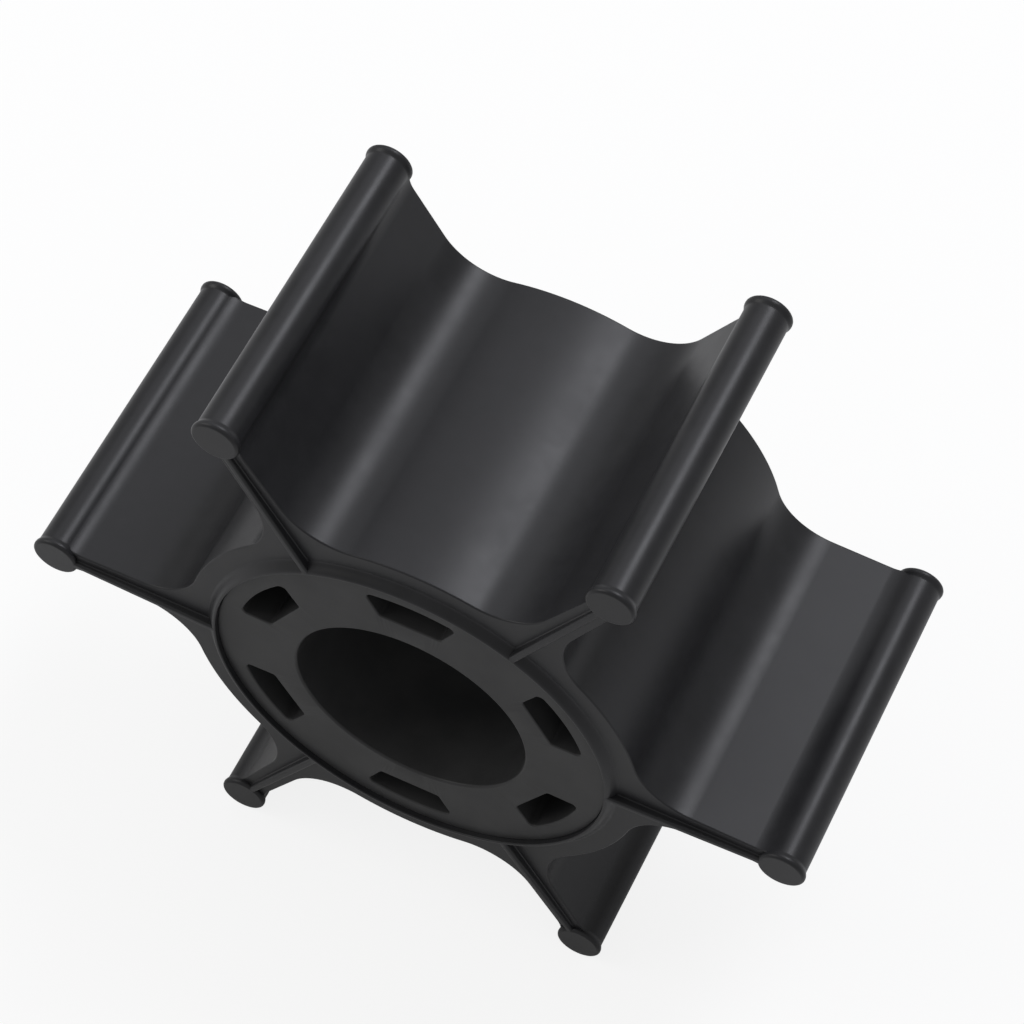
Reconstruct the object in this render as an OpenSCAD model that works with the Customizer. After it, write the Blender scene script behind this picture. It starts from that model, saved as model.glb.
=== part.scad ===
// Flexible-vane pump impeller: a one-piece rubber moulding bonded round a rigid hub insert.
// The shaft axis runs along Y through the origin, which is at mid-width. Z is up, and the
// impeller lies on the beads of its two lowest vanes.

/* [Overall] */
// Diameter over the vane tips
impeller_d = 57.6; // [52:0.2:64]
// Width along the shaft axis, over the ring lips
impeller_w = 25.2; // [18:0.2:34]
// Number of vanes
vane_count = 6; // [4:1:8]

/* [Vanes] */
// Thickness of a vane beside its tip bead
vane_tip_t = 1.8; // [1.2:0.1:2.4]
// Thickness of a vane at the sleeve's surface, under its root fillets
vane_root_t = 2.4; // [1.6:0.1:3.2]
// Radius of the fillet between a vane and the hub sleeve
root_fillet_r = 4.7; // [2:0.1:6.4]
// Diameter of the bead along a vane tip
bead_d = 3.1; // [2.8:0.1:4]
// Radius of the hollow blend between a vane's flank and its bead
bead_blend_r = 1.5; // [0.5:0.1:2.5]
// Height of the bead's end cap above the bead
cap_rise = 0.14; // [0.05:0.01:0.4]
// Thickness of the bead's end cap
cap_t = 0.5; // [0.3:0.05:0.8]
// Chamfer round the rims of an end cap
cap_chamfer = 0.12; // [0.05:0.01:0.14]

/* [Sealing lips] */
// Height of the ring lip above the end faces of the vanes and the hub sleeve
lip_h = 0.62; // [0.4:0.02:1.5]
// How much lower than the ring lip the vane lips and the bead caps end at the tips
tip_drop = 0.26; // [0:0.02:0.3]
// Width of the ring lip round the hub
ring_lip_w = 0.65; // [0.4:0.05:1.2]
// Width of the straight lip along a vane
vane_lip_w = 0.55; // [0.3:0.05:0.8]

/* [Hub sleeve] */
// Rubber wall between the insert and the floor of a vane chamber
sleeve_wall = 2.3; // [1.8:0.1:5]

/* [Hub insert] */
// Outer diameter of the insert, and of the seat that it is bonded to
insert_d = 29; // [26:0.2:32]
// Diameter of the shaft bore
bore_d = 17; // [12:0.1:18]
// Depth of the insert's end faces below the ring lips
insert_recess = 0.4; // [0.3:0.05:2]
// Chamfer round the outer rims of the insert
insert_chamfer = 0.1; // [0.05:0.05:0.8]
// Wall between a pocket and the outside of the insert
pocket_rim = 1.45; // [1:0.05:2]
// Radial height of a pocket at its middle
pocket_h = 2.4; // [1.5:0.1:2.8]
// Width of a pocket across its outer corners
pocket_outer_w = 6.6; // [4.4:0.1:7]
// Width of a pocket across its inner corners
pocket_inner_w = 4.4; // [2:0.1:5]
// Depth of a pocket
pocket_depth = 6; // [2:0.5:8]

/* [Hidden] */
$fn = 96;
arc_steps = 10;
blend_steps = 5;
rubber_colour = [0.17, 0.17, 0.18];
insert_colour = [0.24, 0.24, 0.25];

bead_r = bead_d / 2;
cap_r = bead_r + cap_rise;
tip_r = impeller_d / 2 - cap_r;
insert_r = insert_d / 2;
ring_lip_r = insert_r + ring_lip_w;
sleeve_r = insert_r + sleeve_wall;
cap_end = impeller_w / 2 - tip_drop;
body_w = impeller_w - 2 * lip_h;
insert_w = impeller_w - 2 * insert_recess;
vane_step = 360 / vane_count;
// The two lowest vanes lie at equal angles to either side of straight down.
first_vane = 270 - vane_step / 2;

// Half the vane's thickness falls by this much for each millimetre out from the sleeve.
vane_taper = (vane_root_t - vane_tip_t) / 2 / (tip_r - sleeve_r);
flank_angle = atan(vane_taper);
// Half the thickness that the vane would have at the axis, if its flanks ran on.
axis_half_t = vane_tip_t / 2 + vane_taper * tip_r;

// Centre, with x along the vane and y across it, of a fillet that touches the vane's flank and
// lies at a reach from a round whose centre is at hub_x.
function fillet_centre(r, hub_x, reach, side) =
    let (across = axis_half_t + r / cos(flank_angle) - vane_taper * hub_x,
        along = (across * vane_taper
            + side * sqrt(pow(reach, 2) * (1 + pow(vane_taper, 2)) - pow(across, 2)))
            / (1 + pow(vane_taper, 2)))
    [hub_x + along, across - vane_taper * along];

root_fillet = fillet_centre(root_fillet_r, 0, sleeve_r + root_fillet_r, 1);
fillet_angle = atan2(root_fillet[1], root_fillet[0]);
// The blend ends just under the surface of the bead, so that the two overlap.
blend_sink = 0.02;
bead_blend = fillet_centre(bead_blend_r, tip_r, bead_r - blend_sink + bead_blend_r, -1);
blend_angle = atan2(-bead_blend[1], tip_r - bead_blend[0]);

pocket_top_r = insert_r - pocket_rim;
pocket_floor_r = pocket_top_r - pocket_h;
pocket_corner_r = sqrt(pow(pocket_top_r, 2) - pow(pocket_outer_w / 2, 2));
// The pocket's side walls run on by this share of their length, past its outer wall.
pocket_overrun = 0.5;
cut_overrun = 1;

function turned(p, angle) =
    [p[0] * cos(angle) - p[1] * sin(angle), p[0] * sin(angle) + p[1] * cos(angle)];

function arc(centre, r, from, to, steps = arc_steps) =
    [for (i = [0:steps]) let (a = from + (to - from) * i / steps)
        centre + r * [cos(a), sin(a)]];

// One flank of a vane, from its bead down to the sleeve.
function flank() = concat(
    arc(bead_blend, bead_blend_r, blend_angle, -90 - flank_angle, blend_steps),
    arc(root_fillet, root_fillet_r, 270 - flank_angle, 180 + fillet_angle));

function mirrored_flank() = let (p = flank())
    [for (i = [len(p) - 1:-1:0]) turned([p[i][0], -p[i][1]], vane_step)];

// The walls of one chamber, from a vane's bead over the sleeve to the bead of the next vane.
function chamber() = concat(
    flank(),
    arc([0, 0], sleeve_r, fillet_angle, vane_step - fillet_angle),
    mirrored_flank());

module vane_section() {
    polygon([for (k = [0:vane_count - 1]) for (p = chamber()) turned(p, k * vane_step)]);
}

// Turns a drawing in X and Y to stand in X and Z, and its height to run along Y.
module stand() {
    rotate([90, 0, 0]) rotate(first_vane) children();
}

module each_vane() {
    for (k = [0:vane_count - 1]) rotate(k * vane_step) children();
}

module both_ends() {
    for (side = [0, 1]) mirror([0, 0, side]) children();
}

module bead_cap() {
    cylinder(h = cap_chamfer, r1 = cap_r - cap_chamfer, r2 = cap_r);
    translate([0, 0, cap_chamfer])
        cylinder(h = cap_t - 2 * cap_chamfer, r = cap_r);
    translate([0, 0, cap_t - cap_chamfer])
        cylinder(h = cap_chamfer, r1 = cap_r, r2 = cap_r - cap_chamfer);
}

module tip_bead() {
    translate([tip_r, 0, 0]) {
        cylinder(h = 2 * (cap_end - cap_t), r = bead_r, center = true);
        both_ends() translate([0, 0, cap_end - cap_t]) bead_cap();
    }
}

// A plate in the middle of a vane. Its ends slope down from the ring lips to the bead caps.
module vane_lip() {
    lip_end = [[ring_lip_r, impeller_w / 2], [tip_r - cap_r, cap_end], [tip_r, cap_end]];
    translate([0, vane_lip_w / 2, 0]) rotate([90, 0, 0]) linear_extrude(vane_lip_w)
        polygon(concat(
            [[insert_r, -impeller_w / 2]],
            [for (p = lip_end) [p[0], -p[1]]],
            [for (i = [2:-1:0]) lip_end[i]],
            [[insert_r, impeller_w / 2]]));
}

module rubber_vanes() {
    color(rubber_colour)
    stand() difference() {
        union() {
            linear_extrude(body_w, center = true) vane_section();
            cylinder(h = impeller_w, r = ring_lip_r, center = true);
            each_vane() {
                tip_bead();
                vane_lip();
            }
        }
        cylinder(h = impeller_w + 2 * cut_overrun, r = insert_r, center = true);
    }
}

module pocket() {
    inner = [pocket_floor_r, pocket_inner_w / 2];
    outer = [pocket_corner_r, pocket_outer_w / 2];
    past = outer + (outer - inner) * pocket_overrun;
    intersection() {
        circle(r = pocket_top_r);
        polygon([inner, past, [past[0], -past[1]], [inner[0], -inner[1]]]);
    }
}

module insert_body() {
    cylinder(h = insert_w - 2 * insert_chamfer, r = insert_r, center = true);
    both_ends() translate([0, 0, insert_w / 2 - insert_chamfer])
        cylinder(h = insert_chamfer, r1 = insert_r, r2 = insert_r - insert_chamfer);
}

module hub_insert() {
    color(insert_colour)
    stand() difference() {
        insert_body();
        cylinder(h = insert_w + 2 * cut_overrun, r = bore_d / 2, center = true);
        both_ends() each_vane() rotate(vane_step / 2)
            translate([0, 0, insert_w / 2 - pocket_depth])
                linear_extrude(pocket_depth + cut_overrun) pocket();
    }
}

rubber_vanes();
hub_insert();
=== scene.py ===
from math import asin, atan, atan2, cos, pi, radians, sin, sqrt

import bmesh
import bpy
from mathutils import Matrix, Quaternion, Vector


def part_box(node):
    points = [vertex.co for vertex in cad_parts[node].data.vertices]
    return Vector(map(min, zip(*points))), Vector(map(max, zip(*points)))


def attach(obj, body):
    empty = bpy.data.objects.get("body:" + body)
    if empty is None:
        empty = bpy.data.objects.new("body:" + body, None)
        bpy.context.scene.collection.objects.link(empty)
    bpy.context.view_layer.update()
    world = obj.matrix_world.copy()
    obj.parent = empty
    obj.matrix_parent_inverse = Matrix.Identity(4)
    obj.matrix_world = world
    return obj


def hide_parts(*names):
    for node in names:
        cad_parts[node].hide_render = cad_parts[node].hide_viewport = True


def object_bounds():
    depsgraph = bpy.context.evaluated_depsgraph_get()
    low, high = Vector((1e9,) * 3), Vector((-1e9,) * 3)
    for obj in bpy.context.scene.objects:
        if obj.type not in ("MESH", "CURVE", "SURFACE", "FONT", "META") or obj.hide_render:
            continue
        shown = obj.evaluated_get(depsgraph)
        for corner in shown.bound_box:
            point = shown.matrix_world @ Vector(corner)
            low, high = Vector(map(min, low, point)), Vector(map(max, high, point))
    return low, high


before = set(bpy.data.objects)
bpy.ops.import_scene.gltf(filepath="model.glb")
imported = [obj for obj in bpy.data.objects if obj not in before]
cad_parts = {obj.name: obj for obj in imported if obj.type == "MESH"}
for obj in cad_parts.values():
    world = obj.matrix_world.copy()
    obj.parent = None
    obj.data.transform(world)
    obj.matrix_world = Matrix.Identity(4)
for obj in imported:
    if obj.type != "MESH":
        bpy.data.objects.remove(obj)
cad_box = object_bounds()

# Sizes in metres. The outer sizes come from the frame, and the others are the part's own.
mm = 0.001
moulding_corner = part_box("rubber_vanes")[1]
insert_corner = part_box("hub_insert")[1]
impeller_r = moulding_corner.x
end_y = moulding_corner.y
insert_r = insert_corner.x
insert_end_y = insert_corner.y

vane_count = 6
vane_step = 2 * pi / vane_count
vane_tip_t = 1.8 * mm
vane_root_t = 2.4 * mm
root_fillet_r = 4.7 * mm
bead_r = 1.55 * mm
bead_blend_r = 2.4 * mm
cap_rise = 0.14 * mm
cap_t = 0.5 * mm
cap_rim_r = 0.23 * mm
cap_flare = 0.45 * mm

# The vane lips and the bead caps end lower than the ring lips by the drop.
lip_h = 0.62 * mm
tip_drop = 0.26 * mm
ring_lip_w = 0.65 * mm
vane_lip_w = 0.55 * mm
ring_lip_crest = 0.12 * mm
ring_lip_slope_w = 0.75 * mm
ring_lip_mouth_r = 0.08 * mm
vane_lip_rim_r = 0.18 * mm
lip_foot_r = 0.1 * mm
sleeve_wall = 2.3 * mm
shoulder_rim_r = 0.12 * mm

bore_r = 8.5 * mm
bore_rim_r = 0.2 * mm
insert_rim_r = 0.08 * mm
pocket_rim = 1.45 * mm
pocket_h = 2.4 * mm
pocket_outer_w = 6.6 * mm
pocket_inner_w = 4.4 * mm
pocket_depth = 6 * mm
pocket_mouth_r = 0.12 * mm
pocket_corner_r = 0.3 * mm

# Steps in a quarter turn of a rim, round a root fillet, the sleeve, a bead and the hub, and
# across a pocket
rim_steps = 5
fillet_steps = 28
sleeve_steps = 16
bead_steps = 80
hub_steps = 240
pocket_steps = 16
# How far one solid reaches into the next before they are joined
overlap = 0.3 * mm
hair = 0.002 * mm
merge_distance = hair / 4

cap_r = bead_r + cap_rise
# The true rounds stay inside the frame's boxes, which lie round flat facets.
tip_r = impeller_r - cap_r - 3 * hair
sleeve_r = insert_r + sleeve_wall
shoulder_y = end_y - lip_h
cap_end_y = end_y - tip_drop
ring_lip_r = insert_r + ring_lip_w
first_vane = 3 * pi / 2 - vane_step / 2

# Half the vane's thickness falls by this much for each metre out from the sleeve.
taper = (vane_root_t - vane_tip_t) / 2 / (tip_r - sleeve_r)
flank_angle = atan(taper)
axis_half_t = vane_tip_t / 2 + taper * tip_r


# Outlines, with x along a vane and y across it

def turned(point, angle):
    x, y = point
    return x * cos(angle) - y * sin(angle), x * sin(angle) + y * cos(angle)


def arc(centre, r, start, end, steps):
    turns = (start + (end - start) * i / steps for i in range(steps + 1))
    return [(centre[0] + r * cos(a), centre[1] + r * sin(a)) for a in turns]


def fillet_centre(r, hub_x, reach, side):
    """Centre of a fillet that touches the vane's flank and is reach away from a round at hub_x."""
    across = axis_half_t + r / cos(flank_angle) - taper * hub_x
    slant = 1 + taper ** 2
    along = (across * taper + side * sqrt(reach ** 2 * slant - across ** 2)) / slant
    return hub_x + along, across - taper * along


def vane_side():
    """One flank of a vane, from its bead to the sleeve."""
    x, y = fillet_centre(bead_blend_r, tip_r, bead_r + bead_blend_r, -1)
    to_bead = atan2(-y, tip_r - x)
    points = arc((x, y), bead_blend_r, to_bead, -pi / 2 - flank_angle, 2 * rim_steps)
    x, y = fillet_centre(root_fillet_r, 0, sleeve_r + root_fillet_r, 1)
    to_sleeve = atan2(y, x)
    points += arc((x, y), root_fillet_r, 3 * pi / 2 - flank_angle, pi + to_sleeve, fillet_steps)
    return points, to_sleeve


def vanes_outline():
    """The outline of all vanes, fillets and the sleeve, without the beads.

    Its second list gives each point's share of the rim's rounding, which fades out at the beads.
    """
    side, to_sleeve = vane_side()
    sleeve = arc((0, 0), sleeve_r, to_sleeve, vane_step - to_sleeve, sleeve_steps)[1:-1]
    far_side = [turned((x, -y), vane_step) for x, y in reversed(side)]
    chamber = side + sleeve + far_side
    fading = [min(1, i / (2 * rim_steps)) for i in range(len(side))]
    shares = fading + [1] * len(sleeve) + fading[::-1]
    points = [turned(p, first_vane + k * vane_step) for k in range(vane_count) for p in chamber]
    return points, shares * vane_count


def round_corners(corners, r):
    """The same outline, anticlockwise, with each corner rounded."""
    points = []
    for i, here in enumerate(corners):
        before = Vector(corners[i - 1]) - Vector(here)
        after = Vector(corners[(i + 1) % len(corners)]) - Vector(here)
        half = before.angle(after) / 2
        inward = (before.normalized() + after.normalized()).normalized()
        centre = Vector(here) + inward * r / sin(half)
        start = (-inward).to_2d()
        reach = pi / 2 - half
        facing = atan2(start.y, start.x)
        points += arc(centre, r, facing - reach, facing + reach, rim_steps)
    return points


def pocket_outline():
    """The pocket on the x axis, with its outer wall following the rim of the insert."""
    outer_r = insert_r - pocket_rim
    outer_angle = asin(pocket_outer_w / 2 / outer_r)
    inner_x = outer_r - pocket_h
    outer = [(outer_r * cos(a), outer_r * sin(a)) for a in (-outer_angle, outer_angle)]
    corners = [outer[0], outer[1], (inner_x, pocket_inner_w / 2), (inner_x, -pocket_inner_w / 2)]
    chord_x = outer_r * cos(outer_angle)
    sag = outer_r - chord_x
    bowed = []
    for x, y in denser(round_corners(corners, pocket_corner_r), pocket_inner_w / pocket_steps):
        bow = sag * (1 - (y / (pocket_outer_w / 2)) ** 2)
        outward = (x - inner_x) / (chord_x - inner_x)
        bowed.append((x + bow * outward ** 2, y))
    return bowed


def denser(points, longest):
    """Splits the long sides, so that they can bow."""
    out = []
    for i, here in enumerate(points):
        there = points[(i + 1) % len(points)]
        pieces = max(1, round((Vector(there) - Vector(here)).length / longest))
        out += [tuple(Vector(here).lerp(Vector(there), j / pieces)) for j in range(pieces)]
    return out


def grown(points, distance, shares=None):
    """The outline moved outwards by a distance, or by each point's share of it."""
    shares = shares or [1] * len(points)
    out = []
    for i, here in enumerate(points):
        back = (Vector(here) - Vector(points[i - 1])).normalized()
        on = (Vector(points[(i + 1) % len(points)]) - Vector(here)).normalized()
        normal = Vector((back.y + on.y, -back.x - on.x)).normalized()
        stretch = 1 / max(0.5, normal.dot(Vector((back.y, -back.x))))
        out.append(tuple(Vector(here) + normal * distance * stretch * shares[i]))
    return out


# Solids. A drawing in x and y stands in X and Z, and its height runs along Y.

def solid_of_rings(mesh, rings):
    """A closed skin over rings of points, each with as many points as the next."""
    made = [[mesh.verts.new((x, y, z)) for x, z, y in ring] for ring in rings]
    count = len(made[0])
    for low, high in zip(made, made[1:]):
        for i in range(count):
            j = (i + 1) % count
            mesh.faces.new((low[i], low[j], high[j], high[i]))
    mesh.faces.new(list(reversed(made[0])))
    mesh.faces.new(made[-1])


def stack(mesh, outline, levels, shares=None):
    """Rings of one outline, each at its own height and grown by its own distance."""
    solid_of_rings(mesh, [[(x, z, y) for x, z in grown(outline, by, shares)] for y, by in levels])


def lathe(mesh, profile, steps, centre=(0, 0)):
    """A solid of revolution about a line along Y, from radius and height pairs."""
    rings = []
    for r, y in profile:
        rings.append([(x, z, y) for x, z in arc(centre, r, 0, 2 * pi * (1 - 1 / steps), steps - 1)])
    solid_of_rings(mesh, rings)


def tube(mesh, profile, steps):
    """A closed profile of radius and height pairs, turned about Y."""
    rings = []
    for i in range(steps):
        a = 2 * pi * i / steps
        rings.append([mesh.verts.new((r * cos(a), y, r * sin(a))) for r, y in profile])
    count = len(profile)
    for i, ring in enumerate(rings):
        following = rings[(i + 1) % steps]
        for j in range(count):
            k = (j + 1) % count
            mesh.faces.new((ring[j], ring[k], following[k], following[j]))


def rounded(r):
    """Across and along distances of a rim with radius r, from its side to its end."""
    turns = (pi / 2 * i / rim_steps for i in range(rim_steps + 1))
    return [(r * (1 - cos(a)), r * (1 - sin(a))) for a in turns]


def end_to_end(half):
    """Radius and height pairs up to the front end, after the same pairs for the back end."""
    return [(r, -y) for r, y in reversed(half)] + half


def both_ways(half):
    """A list of levels up to the front end, and the same levels mirrored to the back end."""
    return [(-y, by) for y, by in reversed(half)] + [(y, by) for y, by in half]


def as_object(name, mesh):
    bmesh.ops.recalc_face_normals(mesh, faces=mesh.faces)
    if mesh.calc_volume(signed=True) < 0:
        bmesh.ops.reverse_faces(mesh, faces=mesh.faces)
    data = bpy.data.meshes.new(name)
    mesh.to_mesh(data)
    mesh.free()
    piece = bpy.data.objects.new(name, data)
    bpy.context.scene.collection.objects.link(piece)
    return piece


def combined(name, base, operations):
    """Joins solids and cuts others out, then makes the result one plain mesh."""
    for operation, other in operations:
        step = base.modifiers.new(operation, "BOOLEAN")
        step.operation = operation
        step.solver = "MANIFOLD"
        step.object = other
    bpy.context.view_layer.update()
    shown = base.evaluated_get(bpy.context.evaluated_depsgraph_get())
    data = bpy.data.meshes.new_from_object(shown)
    for solid in [base] + [other for _, other in operations]:
        bpy.data.objects.remove(solid, do_unlink=True)
    mesh = bmesh.new()
    mesh.from_mesh(data)
    bmesh.ops.remove_doubles(mesh, verts=mesh.verts, dist=merge_distance)
    bmesh.ops.dissolve_degenerate(mesh, edges=mesh.edges, dist=merge_distance)
    return as_object(name, mesh)


def smooth(piece, sharp_from=radians(38)):
    """Smooth shading between faces at a small angle, with flat faces kept flat."""
    mesh = bmesh.new()
    mesh.from_mesh(piece.data)
    for face in mesh.faces:
        face.smooth = True
    for edge in mesh.edges:
        edge.smooth = edge.calc_face_angle(pi) < sharp_from
    mesh.to_mesh(piece.data)
    mesh.free()
    normals = piece.modifiers.new("even_normals", "WEIGHTED_NORMAL")
    normals.keep_sharp = True
    normals.weight = 80


def vanes_and_sleeve():
    rim = [(shoulder_y - along, -across) for across, along in rounded(shoulder_rim_r)]
    mesh = bmesh.new()
    outline, shares = vanes_outline()
    stack(mesh, outline, both_ways(rim), shares)
    return as_object("vanes_and_sleeve", mesh)


def ring_lips():
    """The ring lips: from a narrow crest, each slopes down softly to the shoulder."""
    crest_r = insert_r + ring_lip_crest
    steps = 2 * rim_steps
    half = [(crest_r + ring_lip_slope_w, shoulder_y - overlap)]
    for i in range(steps, -1, -1):
        share = i / steps
        height = lip_h * (1 + cos(pi * share)) / 2
        half.append((crest_r + ring_lip_slope_w * share, shoulder_y + height))
    mesh = bmesh.new()
    lathe(mesh, end_to_end(half), hub_steps)
    return as_object("ring_lips", mesh)


def vane_lip_section(top):
    """The section across a vane's plate: at each end it has two feet, two sides and two rims."""
    side = vane_lip_w / 2
    half = [(side + lip_foot_r, shoulder_y - overlap)]
    half += [(side + along, shoulder_y + across) for across, along in rounded(lip_foot_r)]
    half += [(side - across, top - along) for across, along in rounded(vane_lip_rim_r)]
    right = end_to_end(half)
    return right + [(-v, y) for v, y in reversed(right)]


def vane_lips():
    """A thin plate in each vane, which stands out of both its ends as a lip."""
    course = [
        (insert_r - overlap, end_y),
        (ring_lip_r, end_y),
        (tip_r - cap_r, cap_end_y),
        (tip_r, cap_end_y),
    ]
    mesh = bmesh.new()
    for k in range(vane_count):
        angle = first_vane + k * vane_step
        rings = []
        for u, top in course:
            rings.append([(*turned((u, v), angle), y) for v, y in vane_lip_section(top - hair)])
        solid_of_rings(mesh, rings)
    return as_object("vane_lips", mesh)


def tip_beads():
    """The round beads along the vane tips, each flaring into a slightly wider cap at both ends."""
    flare = []
    for i in range(rim_steps + 1):
        share = i / rim_steps
        r = bead_r + hair + (cap_rise - hair) * (1 - cos(pi * share)) / 2
        flare.append((r, cap_end_y - cap_t + cap_flare * (share - 0.5)))
    rim = [(cap_r - across, cap_end_y - along) for across, along in rounded(cap_rim_r)]
    half = flare + rim
    mesh = bmesh.new()
    for k in range(vane_count):
        centre = turned((tip_r, 0), first_vane + k * vane_step)
        lathe(mesh, end_to_end(half), bead_steps, centre)
    return as_object("tip_beads", mesh)


def insert_seat():
    """What is cut out of the sleeve for the insert. Its mouths ease the ring lips' inner edges."""
    mouth = [(insert_r + across, end_y - along) for across, along in rounded(ring_lip_mouth_r)]
    half = mouth + [(insert_r + ring_lip_mouth_r, end_y + overlap)]
    mesh = bmesh.new()
    lathe(mesh, end_to_end(half), hub_steps)
    return as_object("insert_seat", mesh)


def vane_moulding():
    return combined("vane_moulding", vanes_and_sleeve(), [
        ("UNION", ring_lips()),
        ("UNION", tip_beads()),
        ("UNION", vane_lips()),
        ("DIFFERENCE", insert_seat()),
    ])


def insert_body():
    outer = [(insert_r - across, insert_end_y - along) for across, along in rounded(insert_rim_r)]
    inner = [(bore_r + across, insert_end_y - along) for across, along in rounded(bore_rim_r)]
    half = outer + inner[::-1]
    mesh = bmesh.new()
    tube(mesh, half + [(r, -y) for r, y in reversed(half)], hub_steps)
    return as_object("insert_body", mesh)


def pockets():
    floor_y = insert_end_y - pocket_depth
    mouth = [(insert_end_y - along, across) for across, along in rounded(pocket_mouth_r)]
    levels = [(floor_y, 0)] + mouth + [(insert_end_y + overlap, pocket_mouth_r)]
    mesh = bmesh.new()
    for k in range(vane_count):
        outline = [turned(p, first_vane + (k + 0.5) * vane_step) for p in pocket_outline()]
        stack(mesh, outline, levels)
        stack(mesh, outline, [(-y, by) for y, by in reversed(levels)])
    return as_object("pockets", mesh)


def hub_core():
    return combined("hub_core", insert_body(), [("DIFFERENCE", pockets())])


# Materials

class Wire:
    """A value or colour in a node tree. Sums and products of it add Math nodes."""

    def __init__(self, tree, socket):
        self.tree = tree
        self.socket = socket

    def maths(self, operation, *values):
        return self.tree.node("ShaderNodeMath", {"operation": operation}, dict(enumerate(values)))

    def __add__(self, other):
        return self.maths("ADD", self, other)

    def __mul__(self, other):
        return self.maths("MULTIPLY", self, other)

    __radd__ = __add__
    __rmul__ = __mul__


class Tree:
    """The nodes of one material or of the world."""

    def __init__(self, owner):
        owner.use_nodes = True
        self.tree = owner.node_tree
        self.tree.nodes.clear()

    def node(self, kind, settings=None, sockets=None, out=0):
        """Adds a node: its settings first, then the values or wires of its sockets."""
        made = self.tree.nodes.new(kind)
        for name, value in (settings or {}).items():
            setattr(made, name, value)
        for name, value in (sockets or {}).items():
            if isinstance(value, Wire):
                self.tree.links.new(value.socket, made.inputs[name])
            else:
                made.inputs[name].default_value = value
        return Wire(self, made.outputs[out]) if made.outputs else made


def grey(level):
    return (level, level, level, 1)


def noise(tree, place, size, detail, roughness=0.55):
    """Cloudy noise from 0 to 1, with spots of about this size in metres."""
    sockets = {"Vector": place, "Scale": 1 / size, "Detail": detail, "Roughness": roughness}
    return tree.node("ShaderNodeTexNoise", sockets=sockets)


def stretched(tree, noise_value):
    """Noise keeps near its middle, so its usual range is stretched to run from 0 to 1."""
    sockets = {"Value": noise_value, "From Min": 0.35, "From Max": 0.65}
    return tree.node("ShaderNodeMapRange", sockets=sockets)


def mixed(tree, share, first, second):
    """A colour between two, by a share from 0 to 1."""
    sockets = {0: share, 6: first, 7: second}
    return tree.node("ShaderNodeMix", {"data_type": "RGBA"}, sockets, out=2)


def bumped(tree, height, distance):
    """A bump whose height runs from 0 to this distance in metres."""
    sockets = {"Strength": 1, "Distance": distance, "Height": height}
    return tree.node("ShaderNodeBump", sockets=sockets)


def moulded_rubber():
    material = bpy.data.materials.new("moulded_rubber")
    tree = Tree(material)
    place = tree.node("ShaderNodeTexCoord", out="Object")
    clouds = noise(tree, place, 5 * mm, 3)
    haze = noise(tree, place, 1.1 * mm, 5, 0.6)
    grain = noise(tree, place, 0.09 * mm, 3, 0.6)
    shade = stretched(tree, 0.6 * clouds + 0.4 * haze)
    colour = mixed(tree, shade, (0.0115, 0.0115, 0.0125, 1), (0.0155, 0.0155, 0.0168, 1))
    roughness = 0.34 + 0.06 * shade + 0.04 * grain
    normal = bumped(tree, grain, 0.0015 * mm)
    shader = tree.node("ShaderNodeBsdfPrincipled", sockets={
        "Base Color": colour, "Roughness": roughness, "Normal": normal, "IOR": 1.29,
    })
    tree.node("ShaderNodeOutputMaterial", sockets={"Surface": shader})
    return material


def insert_plastic():
    material = bpy.data.materials.new("insert_plastic")
    tree = Tree(material)
    place = tree.node("ShaderNodeTexCoord", out="Object")
    clouds = noise(tree, place, 4 * mm, 3)
    grain = noise(tree, place, 0.12 * mm, 3, 0.6)
    shade = stretched(tree, clouds)
    colour = mixed(tree, shade, (0.024, 0.024, 0.0245, 1), (0.031, 0.031, 0.0315, 1))
    roughness = 0.36 + 0.08 * grain
    normal = bumped(tree, grain, 0.002 * mm)
    shader = tree.node("ShaderNodeBsdfPrincipled", sockets={
        "Base Color": colour, "Roughness": roughness, "Normal": normal, "IOR": 1.23,
    })
    tree.node("ShaderNodeOutputMaterial", sockets={"Surface": shader})
    return material


def finish_piece(piece, node, material):
    smooth(piece)
    piece.data.materials.clear()
    piece.data.materials.append(material)
    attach(piece, "root")
    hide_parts(node)


# Floor, light and camera

floor_size = 1.6
floor_white = 0.7
floor_glow = 0.85
floor_glow_mirrored = 0.15
surround_level = 0.55

# Lamps: the direction each shines from, its width and length in metres, its power in watts and
# its colour. They stand this far from the part.
lamps_away = 0.6
cool_white = (0.93, 0.94, 1)
warm_white = (1, 0.99, 0.96)
lamps = {
    "bright_softbox": ((0.2, 0.49, 0.85), 0.17, 0.26, 2.1, cool_white),
    "wide_softbox": ((-0.35, 0.49, 0.8), 0.46, 0.26, 0.58, cool_white),
    "left_softbox": ((-0.8, -0.2, 0.6), 0.3, 0.3, 1.2, warm_white),
}

view_azimuth = radians(23.24)
view_elevation = radians(57.69)
view_roll = radians(2.67)
view_away = 0.24571
view_aim = Vector((0, 3.61 * mm, 2.33 * mm))
view_angle = radians(16.27)


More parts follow.
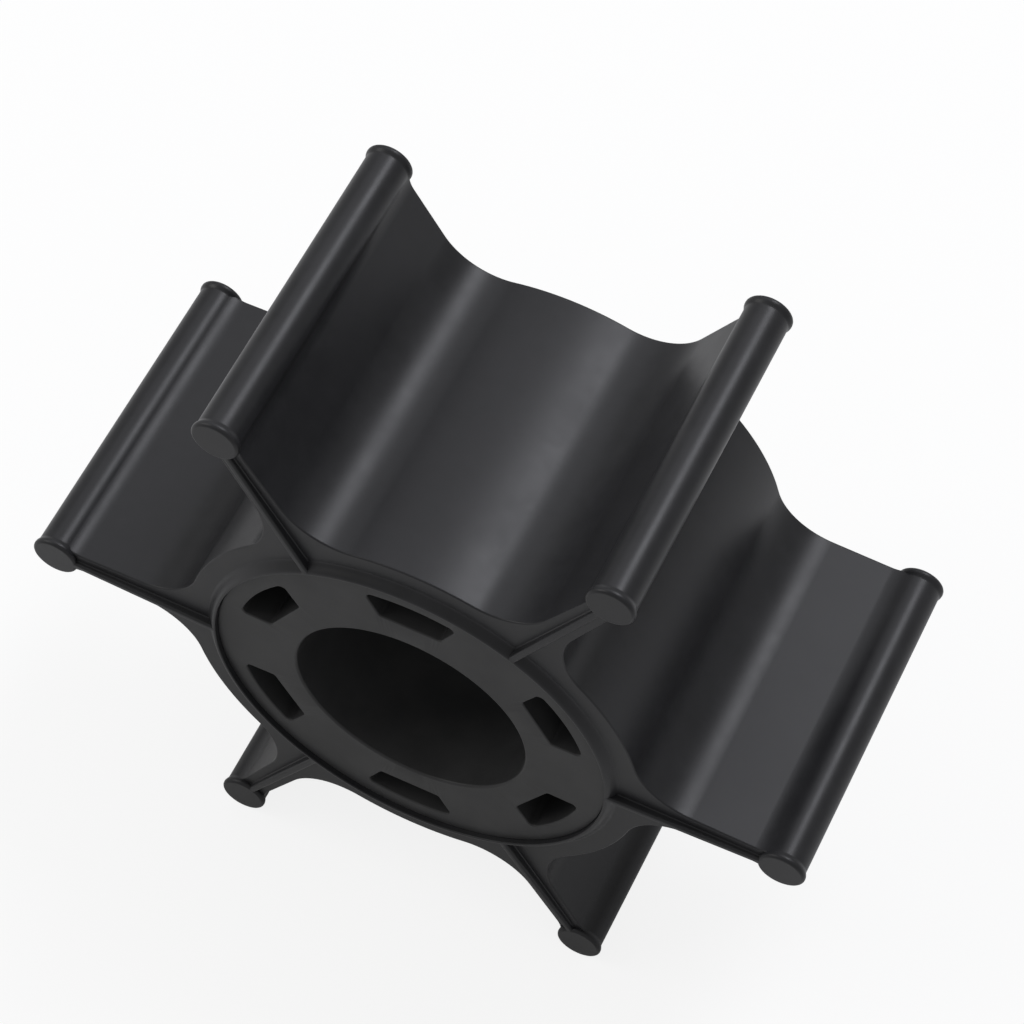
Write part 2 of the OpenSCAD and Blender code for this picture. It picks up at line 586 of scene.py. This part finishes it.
def pale_floor():
    half = floor_size / 2
    mesh = bmesh.new()
    corners = [(-half, -half), (half, -half), (half, half), (-half, half)]
    mesh.faces.new([mesh.verts.new((x, y, cad_box[0].z)) for x, y in corners])
    floor = as_object("floor", mesh)
    material = bpy.data.materials.new("pale_floor")
    tree = Tree(material)
    glow_share = floor_glow * tree.node("ShaderNodeLightPath", out="Is Camera Ray")
    for ray in ("Is Glossy Ray", "Is Transmission Ray"):
        glow_share = glow_share + floor_glow_mirrored * tree.node("ShaderNodeLightPath", out=ray)
    matt = tree.node("ShaderNodeBsdfDiffuse", sockets={"Color": grey(floor_white)})
    glow = tree.node("ShaderNodeEmission", sockets={"Color": grey(1), "Strength": 1})
    shader = tree.node("ShaderNodeMixShader", sockets={0: glow_share, 1: matt, 2: glow})
    tree.node("ShaderNodeOutputMaterial", sockets={"Surface": shader})
    floor.data.materials.append(material)


def surroundings():
    world = bpy.data.worlds.new("surroundings")
    bpy.context.scene.world = world
    tree = Tree(world)
    sockets = {"Color": grey(1), "Strength": surround_level}
    light = tree.node("ShaderNodeBackground", sockets=sockets)
    tree.node("ShaderNodeOutputWorld", sockets={"Surface": light})


def softboxes():
    for name, (towards, width, length, power, colour) in lamps.items():
        towards = Vector(towards).normalized()
        lamp = bpy.data.lights.new(name, "AREA")
        lamp.shape = "RECTANGLE"
        lamp.size = width
        lamp.size_y = length
        lamp.energy = power
        lamp.color = colour
        box = bpy.data.objects.new(name, lamp)
        box.location = towards * lamps_away
        box.rotation_euler = towards.to_track_quat("Z", "Y").to_euler()
        bpy.context.scene.collection.objects.link(box)


def camera():
    lens = bpy.data.cameras.new("camera")
    lens.sensor_fit = "HORIZONTAL"
    lens.angle = view_angle
    lens.clip_start = 10 * mm
    lens.clip_end = 10
    viewer = bpy.data.objects.new("camera", lens)
    level = cos(view_elevation)
    back = Vector((sin(view_azimuth) * level, -cos(view_azimuth) * level, sin(view_elevation)))
    viewer.location = view_aim + back * view_away
    level_turn = (-back).to_track_quat("-Z", "Y")
    viewer.rotation_mode = "QUATERNION"
    viewer.rotation_quaternion = level_turn @ Quaternion((0, 0, 1), view_roll)
    bpy.context.scene.collection.objects.link(viewer)
    bpy.context.scene.camera = viewer


camera()
finish_piece(vane_moulding(), "rubber_vanes", moulded_rubber())
finish_piece(hub_core(), "hub_insert", insert_plastic())
pale_floor()
surroundings()
softboxes()
bpy.context.scene.view_settings.view_transform = "Standard"
